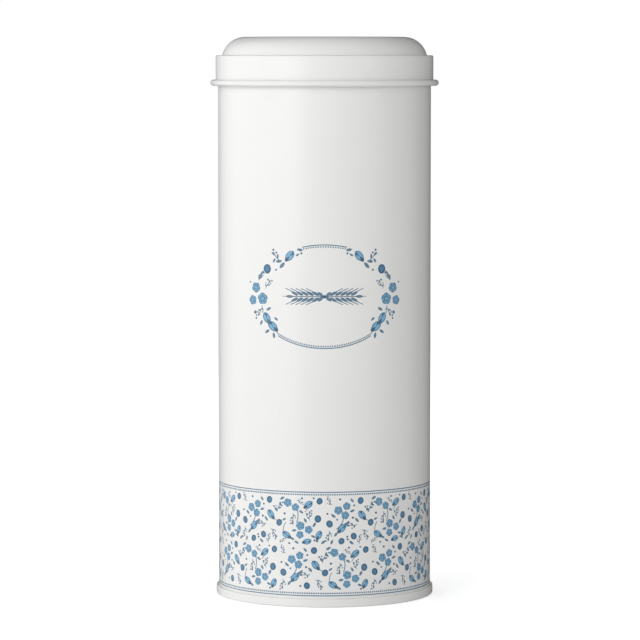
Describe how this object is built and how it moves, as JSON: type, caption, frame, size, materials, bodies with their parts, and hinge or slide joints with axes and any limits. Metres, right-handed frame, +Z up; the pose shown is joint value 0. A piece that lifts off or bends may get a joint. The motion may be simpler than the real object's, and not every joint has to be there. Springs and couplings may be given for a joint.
{
  "type": "tall round kitchen tin with slip lid",
  "caption": "Tall round tinplate kitchen tin with a folded side seam, double-seamed base, rolled rim and a loose domed slip-over lid.",
  "frame": {"origin": "centre of the tin's footprint, on the surface it stands on", "axes": "+Z up along the tin's axis, -Y towards the printed front, +Y towards the side seam, +X to the viewer's right when facing the front"},
  "size_m": [0.11, 0.11, 0.2689],
  "materials": {
    "white_enamel": "glossy white enamel outside, pale gold lacquer inside",
    "white_enamel_base": "glossy white enamel outside, pale gold lacquer inside",
    "white_enamel_lid": "glossy white enamel outside and inside",
    "blue_print": "blue printing ink under gloss varnish"
  },
  "bodies": {
    "tin": {"body_wall": "white_enamel", "base_end": "white_enamel_base"},
    "lid": {"lid": "white_enamel_lid"}
  },
  "joints": [
    {"name": "lid_lift", "type": "slide", "parent": "tin", "child": "lid", "axis": [0, 0, 1], "range_m": [0, 0.1]}
  ]
}
